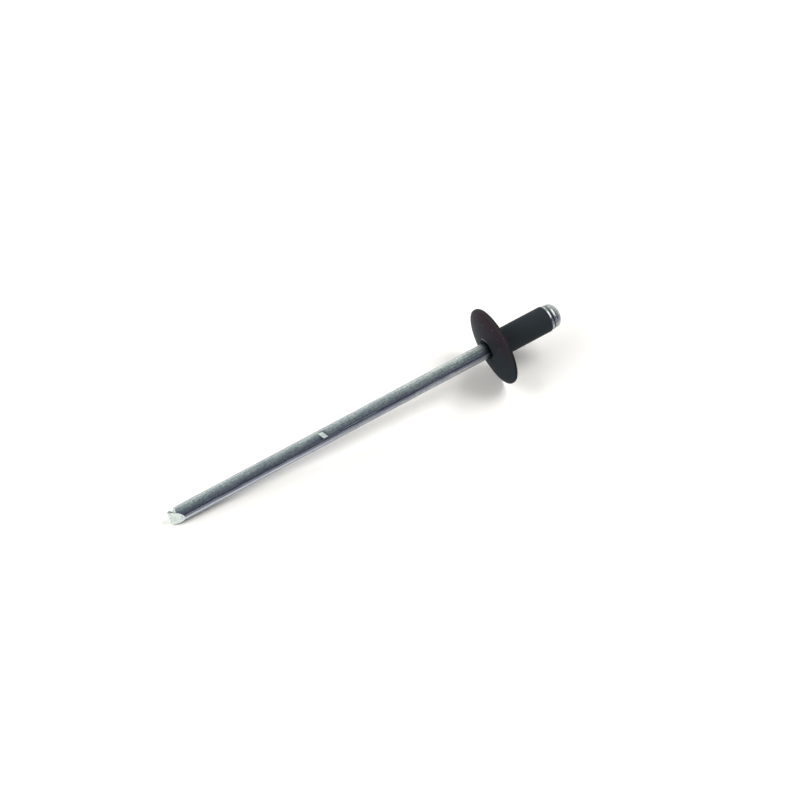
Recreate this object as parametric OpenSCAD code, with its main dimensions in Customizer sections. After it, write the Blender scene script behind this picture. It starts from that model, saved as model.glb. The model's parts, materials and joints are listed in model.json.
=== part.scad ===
// Large-flange blind rivet, unset, lying on its flange's rim and on its mandrel's tip.
// Millimetres. +Z is up and +X runs from the mandrel's tip towards its head.
// The origin is the centre of the shank at the flange's bearing face.
//
// Both pieces are drawn upright about +Z first, with the bearing face at height 0,
// the shank above it and the mandrel's stem below it. lay_down() then tips them over.
// A roll angle turns about the rivet's axis. It counts from the top of the lying rivet
// towards its -Y side.

/* [Shank] */
// Diameter of the shank
shank_d = 4.0; // [3.6:0.1:6.4]
// Length of the shank, from the flange's bearing face to its blind end
shank_length = 8.75; // [5:0.05:20]
// Rounding of the shank's edge at its blind end
shank_end_round = 0.15; // [0.1:0.05:0.4]
// Radius of the hollow corner between the shank and the bearing face
shank_root_round = 0.1; // [0.05:0.01:0.2]

/* [Flange] */
// Diameter of the flange
flange_d = 12.0; // [9:0.1:16]
// Thickness of the flange at its rim
rim_thickness = 0.45; // [0.3:0.05:0.8]
// Rounding of the rim's two edges
rim_round = 0.12; // [0.04:0.01:0.14]
// Height of the dome above the rim, if it ran on to the rivet's axis
dome_height = 1.1; // [0.5:0.05:1.6]
// Width of the countersink around the mandrel's hole
countersink_width = 0.45; // [0.2:0.05:0.8]
// Depth of the countersink
countersink_depth = 0.35; // [0.1:0.05:0.4]

/* [Mandrel] */
// Diameter of the mandrel's stem
stem_d = 2.4; // [1.8:0.05:2.6]
// Gap all round between the stem and the wall of the shank's bore
bore_gap = 0.05; // [0.02:0.01:0.1]
// How deep the bore's mouth is crimped into a groove in the stem
crimp_depth = 0.1; // [0.05:0.01:0.15]
// Length of each of the groove's two flanks
crimp_flank = 0.3; // [0.26:0.01:0.5]
// Reach of the stem, from the flange's bearing face to its tip
stem_reach = 54.2; // [30:0.1:70]
// How far the mandrel's head stays inside the shank's surface
head_inset = 0.1; // [0.05:0.01:0.15]
// Length of the band at the head's base
head_band = 0.5; // [0.3:0.05:1.2]
// How much narrower the band is where it meets the blind end
band_draft = 0.03; // [0.01:0.01:0.08]
// Step from the band in to the shoulder
head_step = 0.07; // [0.04:0.01:0.2]
// Length of the straight shoulder between the step and the dome
head_shoulder = 0.45; // [0.2:0.05:1]
// Height of the head's dome
head_dome = 1.2; // [0.6:0.05:1.8]
// Diameter left at the neck where the stem breaks off
neck_d = 1.7; // [1.2:0.05:1.75]
// Distance of the neck from the blind end
neck_depth = 1.8; // [1:0.1:4]

/* [Mandrel tip] */
// Length of the two slopes of the pinched tip
pinch_length = 1.9; // [1:0.1:3]
// How much thinner the wire is drawn at its very tip
tip_draw = 0.05; // [0.01:0.01:0.1]
// Thickness left at the tip's edge
tip_edge = 0.15; // [0.05:0.01:0.3]
// Roll of the slope that faces the front
pinch_roll = 76; // [50:1:85]
// How far the tip's edge leans from square
pinch_skew = 4; // [0:1:20]
// Width of the corner that broke off the tip's edge
chip_width = 0.45; // [0.1:0.05:0.8]
// Length of stem that the broken corner took away
chip_length = 0.35; // [0.1:0.05:0.4]
// Roll of the notch torn behind the tip's upper corner
notch_roll = -30; // [-60:1:0]
// Distance of the notch from the tip
notch_offset = 0.85; // [0.5:0.05:1.5]
// Length of the notch along the stem
notch_length = 0.7; // [0.3:0.05:1]
// Depth of the notch
notch_depth = 0.6; // [0.1:0.05:0.8]

/* [Nick in the stem] */
// Distance of the nick from the tip
nick_offset = 24.9; // [10:0.1:28]
// Length of the nick along the stem
nick_length = 0.65; // [0.3:0.05:2]
// Depth of the nick
nick_depth = 0.11; // [0.05:0.01:0.25]
// Skew of the nick's ends
nick_skew = 24; // [0:1:45]
// Roll of the nick
nick_roll = 22; // [0:1:90]

/* [Hidden] */
$fn = 96;
ARC_STEPS = 6;
DOME_STEPS = 18;
TOOL_SIZE = 10 * stem_d;

shank_r = shank_d / 2;
flange_r = flange_d / 2;
stem_r = stem_d / 2;
bore_r = stem_r + bore_gap;
head_r = shank_r - head_inset;
neck_slope = stem_r - neck_d / 2;
mouth_r = bore_r + countersink_width;

// The dome's front is part of a ball through its crown and the rim's front edge.
dome_r = (pow(flange_r, 2) + pow(dome_height, 2)) / (2 * dome_height);
dome_centre = dome_r - rim_thickness - dome_height;
mouth_z = dome_centre - sqrt(pow(dome_r, 2) - pow(mouth_r, 2));
crimp_z = mouth_z + countersink_depth;

// The rounding of the rim's front edge touches the dome from inside.
rim_inner_r = flange_r - rim_round;
rim_front_z = dome_centre - sqrt(pow(dome_r - rim_round, 2) - pow(rim_inner_r, 2));

// The tip first meets the floor where a slope has cut through to the stem's underside.
// That underside is down_r from the edge's plane and across_r along the edge.
tip_r = stem_r - tip_draw;
pinch_rise = stem_r - tip_edge / 2;
pinch_angle = atan2(pinch_rise, pinch_length);
down_r = tip_r * abs(cos(pinch_roll));
across_r = tip_r * sin(pinch_roll);
slope_offset = max(0, down_r - tip_edge / 2) / tan(pinch_angle);
contact_offset = (slope_offset + across_r * sin(pinch_skew)) / cos(pinch_skew);
contact_r = tip_r + tip_draw * contact_offset / pinch_length;

// The floor runs from that point to the rounded front edge of the rim.
rest_run = stem_reach - contact_offset + rim_front_z;
rest_rise = rim_inner_r - contact_r;
tilt = atan2(rest_rise, rest_run) + asin(rim_round / norm([rest_run, rest_rise]));

function arc(centre, radius, from, to, steps) = [
    for (i = [0 : steps])
        centre + radius * [cos(from + (to - from) * i / steps), sin(from + (to - from) * i / steps)]
];

module lay_down() {
    rotate([0, 90 - tilt, 0]) children();
}

// Turns a cutting tool that works on the +X side to its roll, at a distance from the tip.
module on_stem(roll, from_tip) {
    rotate([0, 0, 180 + roll]) translate([0, 0, from_tip - stem_reach]) children();
}

module body_outline() {
    shank_end = [shank_r - shank_end_round, shank_length - shank_end_round];
    shank_root = [shank_r + shank_root_round, shank_root_round];
    rim_angle = atan2(rim_front_z - dome_centre, rim_inner_r);
    mouth_angle = atan2(mouth_z - dome_centre, mouth_r);
    polygon(concat(
        [
            [bore_r - crimp_depth, crimp_z],
            [bore_r, crimp_z + crimp_flank],
            [bore_r, shank_length],
        ],
        arc(shank_end, shank_end_round, 90, 0, ARC_STEPS),
        arc(shank_root, shank_root_round, 180, 270, ARC_STEPS),
        arc([rim_inner_r, -rim_round], rim_round, 90, 0, ARC_STEPS),
        arc([rim_inner_r, rim_front_z], rim_round, 0, rim_angle, ARC_STEPS),
        arc([0, dome_centre], dome_r, rim_angle, mouth_angle, DOME_STEPS)
    ));
}

module rivet_body() {
    color([0.17, 0.19, 0.21]) lay_down() rotate_extrude() body_outline();
}

module mandrel_outline() {
    step_z = shank_length + head_band;
    dome_foot = step_z + head_shoulder;
    neck_z = shank_length - neck_depth;
    dome = [
        for (i = [0 : DOME_STEPS])
            let (a = 90 * i / DOME_STEPS)
            [(head_r - head_step) * cos(a), dome_foot + head_dome * sin(a)]
    ];
    polygon(concat(
        [
            [0, -stem_reach],
            [tip_r, -stem_reach],
            [stem_r, pinch_length - stem_reach],
            [stem_r, crimp_z - crimp_flank],
            [stem_r - crimp_depth, crimp_z],
            [stem_r, crimp_z + crimp_flank],
            [stem_r, neck_z - neck_slope],
            [neck_d / 2, neck_z],
            [stem_r, neck_z + neck_slope],
            [stem_r, shank_length],
            [head_r - band_draft, shank_length],
            [head_r, step_z],
            [head_r - head_step, step_z],
        ],
        dome
    ));
}

// The two jaws that pinch the wire off leave a slope on each side of the tip.
module pinch_slope(roll, skew) {
    on_stem(roll, 0) translate([tip_edge / 2, 0, 0]) rotate([skew, 0, 0]) rotate([0, pinch_angle, 0])
        translate([0, -TOOL_SIZE / 2, -TOOL_SIZE / 2]) cube(TOOL_SIZE);
}

// The lower corner of the tip's edge has broken off.
module broken_corner() {
    chip_angle = atan2(chip_width, chip_length);
    on_stem(pinch_roll + 90, 0) translate([stem_r - chip_width, 0, 0]) rotate([0, chip_angle, 0])
        translate([0, -TOOL_SIZE / 2, -TOOL_SIZE / 2]) cube(TOOL_SIZE);
}

// A notch behind the upper corner leaves that corner standing as a torn burr.
module torn_notch() {
    on_stem(notch_roll, notch_offset) rotate([90, 0, 0]) linear_extrude(TOOL_SIZE, center = true)
        polygon([
            [stem_r - notch_depth, 0],
            [stem_r + notch_depth, -notch_length],
            [stem_r + notch_depth, notch_length],
        ]);
}

module nick() {
    on_stem(nick_roll, nick_offset) translate([stem_r - nick_depth, 0, 0]) rotate([nick_skew, 0, 0])
        translate([0, -stem_r, -nick_length / 2]) cube([stem_r, stem_d, nick_length]);
}

module mandrel() {
    color([0.68, 0.72, 0.72]) lay_down() difference() {
        rotate_extrude() mandrel_outline();
        pinch_slope(pinch_roll, pinch_skew);
        pinch_slope(pinch_roll + 180, -pinch_skew);
        broken_corner();
        torn_notch();
        nick();
    }
}

rivet_body();
mandrel();
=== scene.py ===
import json
import math

import bpy
from mathutils import Matrix, Vector


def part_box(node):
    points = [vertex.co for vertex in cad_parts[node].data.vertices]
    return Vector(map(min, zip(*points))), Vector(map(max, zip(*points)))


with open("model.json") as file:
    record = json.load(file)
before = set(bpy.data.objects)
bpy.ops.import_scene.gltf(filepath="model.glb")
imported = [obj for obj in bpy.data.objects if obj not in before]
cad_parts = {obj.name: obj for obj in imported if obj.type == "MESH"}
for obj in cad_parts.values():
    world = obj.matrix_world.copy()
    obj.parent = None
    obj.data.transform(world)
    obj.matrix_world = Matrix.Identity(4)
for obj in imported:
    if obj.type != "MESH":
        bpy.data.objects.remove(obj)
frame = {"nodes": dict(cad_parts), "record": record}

# Blender works in metres. Lengths below are in millimetres and MM turns them into metres.
MM = 0.001

# The rivet's sizes, as in the construction.
STEM_R = 1.2
STEM_REACH = 54.2
PINCH_LENGTH = 1.9
NICK_OFFSET = 24.9
FLANGE_R = 6.0
MOUTH_R = 1.7
SHANK_LENGTH = 8.75
HEAD_STEP = 9.25

# Rolls about the rivet's axis, in degrees from the lying rivet's top towards its -Y side.
NICK_ROLL = 22
# The head's painted glints face this roll.
RIDGE_GLINT_ROLL = 25
# The mouth's painted highlight faces this roll.
MOUTH_HIGHLIGHT_ROLL = -25
# The stem's painted dark reflection lies along this roll.
DARK_REFLECTION_ROLL = 66
# The stem's painted reflection of the floor lies along this roll.
FLOOR_REFLECTION_ROLL = 88

# Fades along the axis, which go from 0 at the first height to 1 at the second.
# Heights count from the flange's bearing face, and the stem's are negative.
FLANGE_FRONT = (-0.05, -0.35)
SHANK_START = (0.0, 0.3)
TIP_HALF = (-20, -21)
PALE_TOWARDS_FLANGE = (-20.0, -7.0)
# The stem's painted reflection of the floor fades in towards the tip.
FLOOR_REFLECTION_TOWARDS_TIP = (-24.0, -36.0)

# Bands along the axis, from their lower to their upper height.
# Painted shade and dark reflection of the flange, where the stem enters it.
MOUTH_SHADE_BAND = (-2.0, 1.0)
DEEP_MOUTH_SHADE_BAND = (-1.8, 1.0)
# Painted shade in the head's seat and step creases.
SEAT_CREASE = (SHANK_LENGTH, SHANK_LENGTH + 0.04)
STEP_CREASE = (HEAD_STEP - 0.07, HEAD_STEP + 0.11)
# Painted glints on the head's two ridges.
BASE_RIDGE = (SHANK_LENGTH + 0.10, SHANK_LENGTH + 0.26)
UPPER_RIDGE = (HEAD_STEP + 0.28, HEAD_STEP + 0.44)

# The photo's camera: where it looks from and at, from the centre of the flange's bearing face.
CAMERA_PLACE = Vector((-155.66, -226.56, 300.28)) * MM
CAMERA_AIM = Vector((-17.20, -1.627, -0.11)) * MM
CAMERA_LENS = 126.4

# The room's own light, which fills the shadows on the paper.
SHADOW_LIGHT = (0.11, 0.106, 0.098)

# Unit vector along the floor, from the camera's side of the room to the far side.
AWAY = Vector((0.5241, 0.8517, 0.0))

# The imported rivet's axis, and its lean from upright.
AXIS = Vector(next(m for m in frame["record"]["mounts"] if m["name"] == "shank")["axis"])
LEAN = math.acos(AXIS.z)

# The nick's place on the upright rivet, in millimetres.
NICK_SIDE = Matrix.Rotation(math.radians(180 + NICK_ROLL), 3, "Z") @ Vector((STEM_R, 0, 0))
NICK_PLACE = NICK_SIDE + Vector((0, 0, NICK_OFFSET - STEM_REACH))


def add(tree, kind, inputs=None, **settings):
    """A new node with its settings and inputs. An input is a plain value or another node's output."""
    node = tree.nodes.new(kind)
    for name, value in settings.items():
        setattr(node, name, value)
    for socket, value in (inputs or {}).items():
        if isinstance(value, bpy.types.NodeSocket):
            tree.links.new(value, node.inputs[socket])
        else:
            node.inputs[socket].default_value = value
    return node


def new_material(name):
    """An empty material with its node tree and its output node."""
    material = bpy.data.materials.new(name)
    material.use_nodes = True
    material.node_tree.nodes.clear()
    return material, material.node_tree, material.node_tree.nodes.new("ShaderNodeOutputMaterial")


def upright(tree, vector, length=1.0):
    """A vector turned from the lying rivet to the upright one, whose axis is +Z."""
    inputs = {"Vector": vector, "Rotation": (0, -LEAN, 0), "Scale": (length, length, length)}
    return add(tree, "ShaderNodeMapping", inputs).outputs[0]


def rivet_place(tree):
    """Each point's place on the upright rivet, in millimetres."""
    place = add(tree, "ShaderNodeTexCoord").outputs["Object"]
    return upright(tree, place, 1 / MM)


def stretched(tree, place, along):
    """The place with its distances along the axis scaled, for marks that run along the rivet."""
    return add(tree, "ShaderNodeMapping", {"Vector": place, "Scale": (1, 1, along)}).outputs[0]


def noise(tree, place, scale, detail=3.0, roughness=0.5):
    settings = {"Vector": place, "Scale": scale, "Detail": detail, "Roughness": roughness}
    return add(tree, "ShaderNodeTexNoise", settings).outputs["Fac"]


def ramp(tree, value, low, high, from_value=0.0, to_value=1.0):
    """A value rescaled from low..high to from_value..to_value, and kept inside them."""
    inputs = {"Value": value, "From Min": low, "From Max": high, "To Min": from_value, "To Max": to_value}
    return add(tree, "ShaderNodeMapRange", inputs).outputs[0]


def product(tree, first, second):
    return add(tree, "ShaderNodeMath", {0: first, 1: second}, operation="MULTIPLY").outputs[0]


def larger(tree, first, second):
    return add(tree, "ShaderNodeMath", {0: first, 1: second}, operation="MAXIMUM").outputs[0]


def coordinate(tree, place, axis):
    return add(tree, "ShaderNodeSeparateXYZ", {0: place}).outputs[axis]


def axis_distance(tree, place):
    """Each point's distance from the rivet's axis, in millimetres."""
    level = add(tree, "ShaderNodeVectorMath", {0: place, 1: (1, 1, 0)}, operation="MULTIPLY").outputs[0]
    return add(tree, "ShaderNodeVectorMath", {0: level}, operation="LENGTH").outputs["Value"]


def outward(tree, place):
    """The direction straight out from the rivet's axis at each point."""
    level = add(tree, "ShaderNodeVectorMath", {0: place, 1: (1, 1, 0)}, operation="MULTIPLY").outputs[0]
    return add(tree, "ShaderNodeVectorMath", {0: level}, operation="NORMALIZE").outputs[0]


def stripe(tree, place, roll, core, edge):
    """1 up to core degrees from the line along the rivet at a roll, fading to 0 at edge degrees from it."""
    side = (-math.cos(math.radians(roll)), -math.sin(math.radians(roll)), 0)
    inputs = {0: outward(tree, place), 1: side}
    facing = add(tree, "ShaderNodeVectorMath", inputs, operation="DOT_PRODUCT").outputs["Value"]
    return ramp(tree, facing, math.cos(math.radians(edge)), math.cos(math.radians(core)))


def band(tree, value, low, high, soft):
    """1 where the value is between low and high, fading to 0 over a soft distance on both sides."""
    return product(tree, ramp(tree, value, low - soft, low), ramp(tree, value, high + soft, high))


def tint(tree, share, first, second):
    """A colour between the first and the second one."""
    node = add(tree, "ShaderNodeMix", {"Factor": share}, data_type="RGBA")
    for socket, colour in ((6, first), (7, second)):
        if isinstance(colour, bpy.types.NodeSocket):
            tree.links.new(colour, node.inputs[socket])
        else:
            node.inputs[socket].default_value = (*colour, 1)
    return node.outputs[2]


def bump(tree, height, strength, depth, normal=None):
    """A surface normal bent by a height map, whose full range is depth millimetres."""
    inputs = {"Height": height, "Strength": strength, "Distance": depth * MM}
    if normal is not None:
        inputs["Normal"] = normal
    return add(tree, "ShaderNodeBump", inputs).outputs[0]


def cut_share(tree, place):
    """1 on the faces that a tool cut through the stem, 0 on its round wall, from the faces' own slope."""
    normal = upright(tree, add(tree, "ShaderNodeNewGeometry").outputs["True Normal"])
    inputs = {0: outward(tree, place), 1: normal}
    round_wall = add(tree, "ShaderNodeVectorMath", inputs, operation="DOT_PRODUCT").outputs["Value"]
    sloped = ramp(tree, round_wall, 0.975, 0.955)
    along = coordinate(tree, place, "Z")
    behind_tip = ramp(tree, along, PINCH_LENGTH - STEM_REACH, PINCH_LENGTH - STEM_REACH + 1)
    sunk = product(tree, ramp(tree, axis_distance(tree, place), STEM_R - 0.005, STEM_R - 0.015), behind_tip)
    return product(tree, larger(tree, sloped, sunk), ramp(tree, along, *TIP_HALF))


def plating_colour(tree, place, clouds, streaks):
    """Cloudy plating, paler towards the flange, with dark and light pits and dark streaks."""
    pits = noise(tree, stretched(tree, place, 0.6), 4.2, 3.0, 0.6)
    pale = ramp(tree, coordinate(tree, place, "Z"), *PALE_TOWARDS_FLANGE, 0.0, 0.4)
    colour = tint(tree, ramp(tree, clouds, 0.35, 0.65), (0.26, 0.295, 0.345), (0.355, 0.385, 0.395))
    colour = tint(tree, pale, colour, (0.50, 0.52, 0.50))
    colour = tint(tree, ramp(tree, pits, 0.48, 0.68, 0.0, 0.6), colour, (0.12, 0.13, 0.16))
    colour = tint(tree, ramp(tree, pits, 0.44, 0.28, 0.0, 0.3), colour, (0.62, 0.66, 0.67))
    return tint(tree, ramp(tree, streaks, 0.50, 0.70, 0.0, 0.8), colour, (0.13, 0.14, 0.19))


def painted_stem_reflections(tree, place, clouds, colour):
    """Painted reflections: a long dark line along the stem and, on the tip's half, a bright line of the
    floor beside it.
    """
    # Painted dark reflection along one roll of the stem.
    dark_reflection = ramp(tree, clouds, 0.3, 0.6, 0.5, 0.95)
    dark_reflection = product(tree, stripe(tree, place, DARK_REFLECTION_ROLL, 10.3, 15.0), dark_reflection)
    # Painted reflection of the floor, a bright line that grows towards the tip.
    painted_highlight = ramp(tree, coordinate(tree, place, "Z"), *FLOOR_REFLECTION_TOWARDS_TIP, 0.0, 0.7)
    painted_highlight = product(tree, stripe(tree, place, FLOOR_REFLECTION_ROLL, 5.1, 8.9), painted_highlight)
    colour = tint(tree, dark_reflection, colour, (0.12, 0.12, 0.17))
    return tint(tree, painted_highlight, colour, (0.56, 0.62, 0.70))


def wire_painted_shade(tree, place, streaks, colour):
    """Painted shade where the stem enters the flange, with the flange's dark reflection, and painted shade
    around the nick and in the head's creases.
    """
    along = coordinate(tree, place, "Z")
    # Painted shade and dark reflection on the stem at the flange's mouth.
    mouth_shade = product(tree, band(tree, along, *MOUTH_SHADE_BAND, 4.0), ramp(tree, streaks, 0.40, 0.60, 0.2, 1.0))
    mouth_shade = larger(tree, mouth_shade, band(tree, along, *DEEP_MOUTH_SHADE_BAND, 1.2))
    colour = tint(tree, mouth_shade, colour, (0.07, 0.08, 0.10))
    # Painted shade around the nick.
    nick = {0: place, 1: NICK_PLACE}
    from_nick = add(tree, "ShaderNodeVectorMath", nick, operation="DISTANCE").outputs["Value"]
    colour = tint(tree, ramp(tree, from_nick, 0.85, 0.45, 0.0, 0.75), colour, (0.07, 0.08, 0.09))
    # Painted shade in the head's creases.
    crease_shade = larger(tree, band(tree, along, *STEP_CREASE, 0.06), band(tree, along, *SEAT_CREASE, 0.04))
    return tint(tree, crease_shade, colour, (0.04, 0.04, 0.07))


def wire_colour(tree, place, streaks):
    """The plating with its painted reflections and painted shade on it."""
    clouds = noise(tree, stretched(tree, place, 0.5), 0.9, 3.0)
    colour = plating_colour(tree, place, clouds, streaks)
    colour = painted_stem_reflections(tree, place, clouds, colour)
    return wire_painted_shade(tree, place, streaks, colour)


def wire_shader(tree, place):
    """Drawn, plated wire with fine streaks along it and turned rings on its head."""
    along = coordinate(tree, place, "Z")
    streaks = noise(tree, stretched(tree, place, 0.03), 9.0, 4.0, 0.6)
    grain = noise(tree, place, 14.0, 4.0, 0.65)
    ring_noise = {"W": along, "Scale": 3.2, "Detail": 2.0}
    rings = add(tree, "ShaderNodeTexNoise", ring_noise, noise_dimensions="1D").outputs[0]
    rings = product(tree, rings, ramp(tree, along, SHANK_LENGTH, SHANK_LENGTH + 0.05))
    normal = add(tree, "ShaderNodeBevel", {"Radius": 0.04 * MM}, samples=6).outputs[0]
    normal = bump(tree, grain, 0.3, 0.002, normal)
    normal = bump(tree, streaks, 0.5, 0.008, normal)
    return add(tree, "ShaderNodeBsdfPrincipled", {
        "Base Color": wire_colour(tree, place, streaks),
        "Metallic": 1.0,
        "Roughness": ramp(tree, grain, 0.3, 0.7, 0.20, 0.28),
        "Normal": bump(tree, rings, 1.0, 0.35, normal),
    }).outputs[0]


def cut_shader(tree, place):
    """Torn, bright metal."""
    tearing = noise(tree, place, 3.5, 5.0, 0.7)
    return add(tree, "ShaderNodeBsdfPrincipled", {
        "Base Color": tint(tree, ramp(tree, tearing, 0.35, 0.62), (0.44, 0.49, 0.48), (0.84, 0.91, 0.89)),
        "Metallic": 0.45,
        "Roughness": 0.45,
        "Normal": bump(tree, tearing, 0.8, 0.03),
    }).outputs[0]


def ridge_glints(tree, place):
    """1 where painted glints lie on the head's two ridges, 0 elsewhere."""
    along = coordinate(tree, place, "Z")
    ridges = larger(tree, band(tree, along, *BASE_RIDGE, 0.06), band(tree, along, *UPPER_RIDGE, 0.06))
    return product(tree, ridges, stripe(tree, place, RIDGE_GLINT_ROLL, 11.5, 21.6))


def glint_shader(tree, place):
    """Painted glints: a nearly white, barely metallic shader."""
    grain = noise(tree, place, 14.0, 4.0, 0.65)
    return add(tree, "ShaderNodeBsdfPrincipled", {
        "Base Color": tint(tree, grain, (0.90, 0.92, 0.95), (0.96, 0.96, 0.97)),
        "Metallic": 0.2,
        "Roughness": 0.35,
    }).outputs[0]


def zinc(name):
    """The mandrel's metal: plated wire, torn where it was cut, with painted glints on the head's ridges."""
    material, tree, output = new_material(name)
    place = rivet_place(tree)
    cut = {0: cut_share(tree, place), 1: wire_shader(tree, place), 2: cut_shader(tree, place)}
    metal = add(tree, "ShaderNodeMixShader", cut).outputs[0]
    # Painted glints on the head's ridges.
    painted_highlight = {0: ridge_glints(tree, place), 1: metal, 2: glint_shader(tree, place)}
    metal = add(tree, "ShaderNodeMixShader", painted_highlight).outputs[0]
    tree.links.new(metal, output.inputs["Surface"])
    return material


def paint_colour(tree, place, mottle):
    """Near black and darker on the flange than on the shank as painted shade, with a brown cast on the
    upper front, a painted sheen on the upper rim, a painted highlight on one side of the mouth's edge, and
    grey specks.
    """
    along = coordinate(tree, place, "Z")
    radius = axis_distance(tree, place)
    front = ramp(tree, along, *FLANGE_FRONT)
    upper_front = product(tree, front, ramp(tree, coordinate(tree, place, "X"), -0.5, -5.0))
    brown = product(tree, upper_front, ramp(tree, mottle, 0.3, 0.6, 0.5, 1.0))
    # Painted sheen: the upper half of the rim is lighter.
    rim_sheen = product(tree, upper_front, ramp(tree, radius, FLANGE_R - 0.3, FLANGE_R, 0.0, 0.3))
    # Painted highlight on one side of the mouth's edge.
    mouth_highlight = product(tree, front, band(tree, radius, MOUTH_R - 0.05, MOUTH_R + 0.1, 0.1))
    mouth_highlight = product(tree, mouth_highlight, stripe(tree, place, MOUTH_HIGHLIGHT_ROLL, 18.2, 36.9))
    specks = ramp(tree, noise(tree, place, 3.2, 1.0), 0.76, 0.79)

    colour = tint(tree, ramp(tree, mottle, 0.35, 0.7), (0.013, 0.018, 0.023), (0.016, 0.021, 0.026))
    # Painted shade: the flange keeps a darker colour than the shank.
    colour = tint(tree, ramp(tree, along, *SHANK_START), colour, (0.027, 0.034, 0.040))
    colour = tint(tree, brown, colour, (0.021, 0.013, 0.018))
    # Painted sheen on the upper rim.
    colour = tint(tree, rim_sheen, colour, (0.060, 0.055, 0.053))
    # Painted highlight on the mouth's edge.
    colour = tint(tree, mouth_highlight, colour, (0.12, 0.13, 0.14))
    return tint(tree, specks, colour, (0.11, 0.11, 0.11))


def paint(name):
    """Black satin paint, faintly mottled, with softened edges."""
    material, tree, output = new_material(name)
    place = rivet_place(tree)
    mottle = noise(tree, place, 1.1, 4.0, 0.6)
    orange_peel = noise(tree, place, 4.5, 2.0)
    edges = add(tree, "ShaderNodeBevel", {"Radius": 0.05 * MM}, samples=6).outputs[0]
    shader = add(tree, "ShaderNodeBsdfPrincipled", {
        "Base Color": paint_colour(tree, place, mottle),
        "Roughness": ramp(tree, mottle, 0.3, 0.7, 0.40, 0.50),
        "Specular IOR Level": 0.02,
        "Normal": bump(tree, orange_peel, 0.25, 0.02, edges),
    }).outputs[0]
    tree.links.new(shader, output.inputs["Surface"])
    return material


def floor_material():
    """White paper, a little uneven, and slightly whiter where it is seen than where it lights the rivet."""
    material, tree, output = new_material("white_paper")
    place = add(tree, "ShaderNodeTexCoord").outputs["Object"]
    fibres = noise(tree, place, 900.0, 3.0)
    colour = tint(tree, fibres, (0.90, 0.90, 0.90), (0.93, 0.93, 0.93))
    ray = add(tree, "ShaderNodeLightPath").outputs
    seen = larger(tree, ray["Is Camera Ray"], ray["Is Glossy Ray"])
    seen = larger(tree, seen, ray["Is Transmission Ray"])
    gain = ramp(tree, seen, 0, 1, 1.0, 1.13)
    colour = add(tree, "ShaderNodeVectorMath", {0: colour, "Scale": gain}, operation="SCALE").outputs[0]
    shader = add(tree, "ShaderNodeBsdfDiffuse", {"Color": colour}).outputs[0]
    tree.links.new(shader, output.inputs["Surface"])
    return material


def finish_node(name, material):
    """Gives a construction node its material."""
    node = frame["nodes"][name]
    node.data.materials.clear()
    node.data.materials.append(material)


def lay_floor():
    """The paper lies where the rim touches down."""
    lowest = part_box("rivet_body")[0].z
    bpy.ops.mesh.primitive_plane_add(size=3.0, location=(0, 0, lowest))
    floor = bpy.context.object
    floor.name = "floor"
    floor.data.materials.append(floor_material())


def light_room():
    """A dim room that brightens towards its far side, as the steel mirrors it, and fills shadows warmly."""
    world = bpy.data.worlds.new("room")
    bpy.context.scene.world = world
    world.use_nodes = True
    tree = world.node_tree
    tree.nodes.clear()
    inputs = {0: add(tree, "ShaderNodeTexCoord").outputs["Generated"], 1: AWAY}
    away = add(tree, "ShaderNodeVectorMath", inputs, operation="DOT_PRODUCT").outputs["Value"]
    stops = add(tree, "ShaderNodeValToRGB", {0: ramp(tree, away, -1, 1)})
    colours = stops.color_ramp
    colours.elements.remove(colours.elements[1])
    for i, (side, colour) in enumerate((
        (-1.0, (0.08, 0.09, 0.14)),
        (-0.5, (0.30, 0.32, 0.36)),
        (0.0, (0.52, 0.57, 0.57)),
        (0.7, (1.12, 1.22, 1.10)),
        (1.0, (2.10, 2.15, 1.90)),
    )):
        stop = colours.elements[0] if i == 0 else colours.elements.new((side + 1) / 2)
        stop.position = (side + 1) / 2
        stop.color = (*colour, 1)
    diffuse_ray = add(tree, "ShaderNodeLightPath").outputs["Is Diffuse Ray"]
    room = tint(tree, diffuse_ray, stops.outputs[0], SHADOW_LIGHT)
    background = add(tree, "ShaderNodeBackground", {"Color": room, "Strength": 1.0})
    output = tree.nodes.new("ShaderNodeOutputWorld")
    tree.links.new(background.outputs[0], output.inputs["Surface"])


def hang_lamp(name, towards, energy, width, colour):
    """A broad lamp, given by the direction from the rivet to it. The steel doesn't mirror it."""
    light = bpy.data.lights.new(name, "SUN")
    light.energy = energy
    light.angle = math.radians(width)
    light.color = colour
    lamp = bpy.data.objects.new(name, light)
    lamp.rotation_mode = "QUATERNION"
    lamp.rotation_quaternion = Vector(towards).to_track_quat("Z", "Y")
    lamp.visible_glossy = False
    bpy.context.scene.collection.objects.link(lamp)


def set_camera():
    data = bpy.data.cameras.new("camera")
    data.lens = CAMERA_LENS
    data.sensor_width = 36
    data.clip_start = 0.01
    camera = bpy.data.objects.new("camera", data)
    camera.location = CAMERA_PLACE
    camera.rotation_mode = "QUATERNION"
    camera.rotation_quaternion = (CAMERA_AIM - CAMERA_PLACE).to_track_quat("-Z", "Y")
    bpy.context.scene.collection.objects.link(camera)
    bpy.context.scene.camera = camera


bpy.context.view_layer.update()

finish_node("mandrel", zinc("zinc_steel"))
finish_node("rivet_body", paint("black_paint"))
lay_floor()
light_room()
hang_lamp("head_side", (0.64, -0.25, 1.0), 1.80, 33, (1.0, 0.98, 0.95))
hang_lamp("tip_side", (-2.14, 0.25, 1.0), 3.60, 70, (1.0, 0.985, 0.95))
hang_lamp("far_side", (1.04, 1.01, 1.0), 0.70, 12, (1.0, 0.99, 0.97))
set_camera()
bpy.context.scene.view_settings.view_transform = "Standard"
